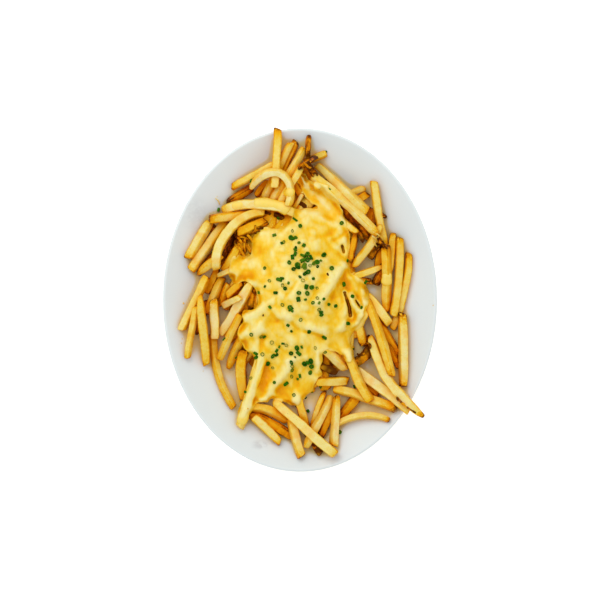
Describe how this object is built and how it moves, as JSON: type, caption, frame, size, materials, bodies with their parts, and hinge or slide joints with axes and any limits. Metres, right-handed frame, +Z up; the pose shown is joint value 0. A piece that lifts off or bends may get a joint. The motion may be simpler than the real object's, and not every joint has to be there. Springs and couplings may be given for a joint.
{
  "type": "plate of cheese fries",
  "caption": "Oval glazed platter holding a loose heap of fried potato strips under a blanket of glossy cheese sauce scattered with chopped chives.",
  "frame": {"origin": "under the middle of the platter's foot, on the surface it stands on", "axes": "+Z up, +Y along the platter's long axis, +X across it"},
  "size_m": [0.254, 0.318, 0.0483],
  "materials": {
    "white_glaze": "smooth white glaze, glossy",
    "fried_potato": "golden fried potato, satin with a little oil, browned on edges and tips",
    "cheese_sauce": "smooth melted cheese sauce, wet gloss",
    "chives": "fresh chopped chives, slightly moist"
  },
  "bodies": {
    "root": {"plate": "white_glaze", "fries": "fried_potato", "cheese_sauce": "cheese_sauce"}
  },
  "joints": []
}
